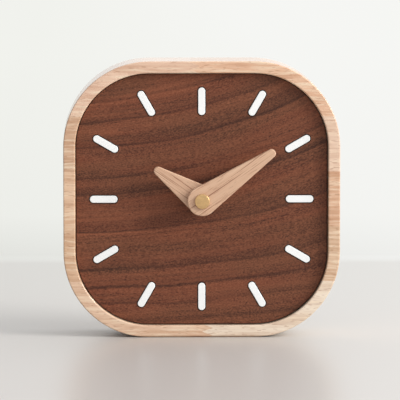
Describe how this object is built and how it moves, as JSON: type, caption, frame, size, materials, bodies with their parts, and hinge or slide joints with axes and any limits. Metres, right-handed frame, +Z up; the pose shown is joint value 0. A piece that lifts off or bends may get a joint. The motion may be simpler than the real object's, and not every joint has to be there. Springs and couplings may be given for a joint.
{
  "type": "table clock",
  "caption": "Small rounded-square table clock: pale wood block, walnut dial with white hour bars, tapered wooden hands, and a quartz movement with knob and cell in a rear pocket.",
  "frame": {"origin": "on the surface it stands on, under the middle of the clock's whole box", "axes": "+Z up; the dial faces -Y, so +X is the clock's right side as seen from the front"},
  "size_m": [0.14, 0.0464, 0.14],
  "materials": {
    "pale_wood": "oiled satin, pale pinkish beige with fine grain across the clock and finger joints",
    "walnut": "oiled satin, dark streaks and fine open pores",
    "hand_wood": "satin, fine grain along each hand",
    "white_acrylic": "smooth white",
    "satin_brass": "satin turned",
    "black_plastic": "fine moulded texture",
    "white_plastic": "moulded, smooth",
    "soft_iron": "stamped",
    "magnet": "sintered",
    "copper_wire": "enamelled fine wire",
    "circuit_board": "solder resist",
    "black_resin": "cast blob",
    "nickel": "nickel plate, satin",
    "rubber": "matt",
    "cell_jacket": "printed sleeve without words, bare metal ends"
  },
  "bodies": {
    "case": {"case_body": "pale_wood", "dial_panel": "walnut", "hour_marker_01": "white_acrylic", "hour_marker_02": "white_acrylic", "hour_marker_03": "white_acrylic", "hour_marker_04": "white_acrylic", "hour_marker_05": "white_acrylic", "hour_marker_06": "white_acrylic", "hour_marker_07": "white_acrylic", "hour_marker_08": "white_acrylic", "hour_marker_09": "white_acrylic", "hour_marker_10": "white_acrylic", "hour_marker_11": "white_acrylic", "hour_marker_12": "white_acrylic", "fixing_nut": "satin_brass", "fixing_washer": "satin_brass", "threaded_bush": "satin_brass", "rubber_gasket": "rubber", "movement_front_shell": "black_plastic", "movement_rear_shell": "black_plastic", "stator_plate": "soft_iron", "coil_core": "soft_iron", "coil_bobbin": "white_plastic", "coil_winding": "copper_wire", "circuit_board": "circuit_board", "clock_chip": "black_resin", "quartz_crystal": "nickel", "battery_contact_negative": "nickel", "battery_contact_positive": "nickel"},
    "minute": {"minute_hand": "hand_wood", "minute_hand_bush": "satin_brass", "centre_cap": "satin_brass", "minute_pipe": "satin_brass"},
    "hour": {"hour_hand": "hand_wood", "hour_hand_bush": "satin_brass", "hour_wheel": "white_plastic"},
    "motion": {"motion_wheel": "white_plastic"},
    "knob": {"setting_knob": "black_plastic"},
    "centre": {"centre_wheel": "white_plastic"},
    "third": {"third_wheel": "white_plastic"},
    "second": {"second_wheel": "white_plastic"},
    "intermediate": {"intermediate_wheel": "white_plastic"},
    "rotor": {"rotor_pinion": "white_plastic", "rotor_magnet": "magnet"},
    "battery": {"aa_battery": "cell_jacket"}
  },
  "joints": [
    {"name": "minute_turn", "type": "hinge", "parent": "case", "child": "minute", "pos_m": [0, -0.0082, 0.07], "axis": [0, 1, 0], "continuous": true},
    {"name": "hour_turn", "type": "hinge", "parent": "case", "child": "hour", "pos_m": [0, -0.0082, 0.07], "axis": [0, 1, 0], "continuous": true},
    {"name": "motion_turn", "type": "hinge", "parent": "case", "child": "motion", "pos_m": [-0.0075, 0.004, 0.07], "axis": [0, 1, 0], "continuous": true},
    {"name": "knob_turn", "type": "hinge", "parent": "case", "child": "knob", "pos_m": [-0.015, 0.016, 0.07], "axis": [0, 1, 0], "continuous": true},
    {"name": "rotor_turn", "type": "hinge", "parent": "case", "child": "rotor", "pos_m": [-0.0071, 0.01, 0.0823], "axis": [0, 1, 0], "continuous": true},
    {"name": "intermediate_turn", "type": "hinge", "parent": "case", "child": "intermediate", "pos_m": [-0.0046, 0.009, 0.07797], "axis": [0, 1, 0], "continuous": true},
    {"name": "second_turn", "type": "hinge", "parent": "case", "child": "second", "pos_m": [0, 0.008, 0.07], "axis": [0, 1, 0], "continuous": true},
    {"name": "third_turn", "type": "hinge", "parent": "case", "child": "third", "pos_m": [0.00754, 0.007, 0.07528], "axis": [0, 1, 0], "continuous": true},
    {"name": "centre_turn", "type": "hinge", "parent": "case", "child": "centre", "pos_m": [0, 0.005, 0.07], "axis": [0, 1, 0], "continuous": true},
    {"name": "battery_slide", "type": "slide", "parent": "case", "child": "battery", "axis": [0, 1, 0], "range_m": [0, 0.02]}
  ],
  "couplings": [
    {"joint": "hour_turn", "follows": "minute_turn", "ratio": 0.083333},
    {"joint": "motion_turn", "follows": "minute_turn", "ratio": -0.33333},
    {"joint": "knob_turn", "follows": "minute_turn", "ratio": 1},
    {"joint": "intermediate_turn", "follows": "rotor_turn", "ratio": -0.25},
    {"joint": "second_turn", "follows": "rotor_turn", "ratio": 0.033333},
    {"joint": "third_turn", "follows": "rotor_turn", "ratio": -0.0044444},
    {"joint": "centre_turn", "follows": "rotor_turn", "ratio": 0.00055556}
  ]
}
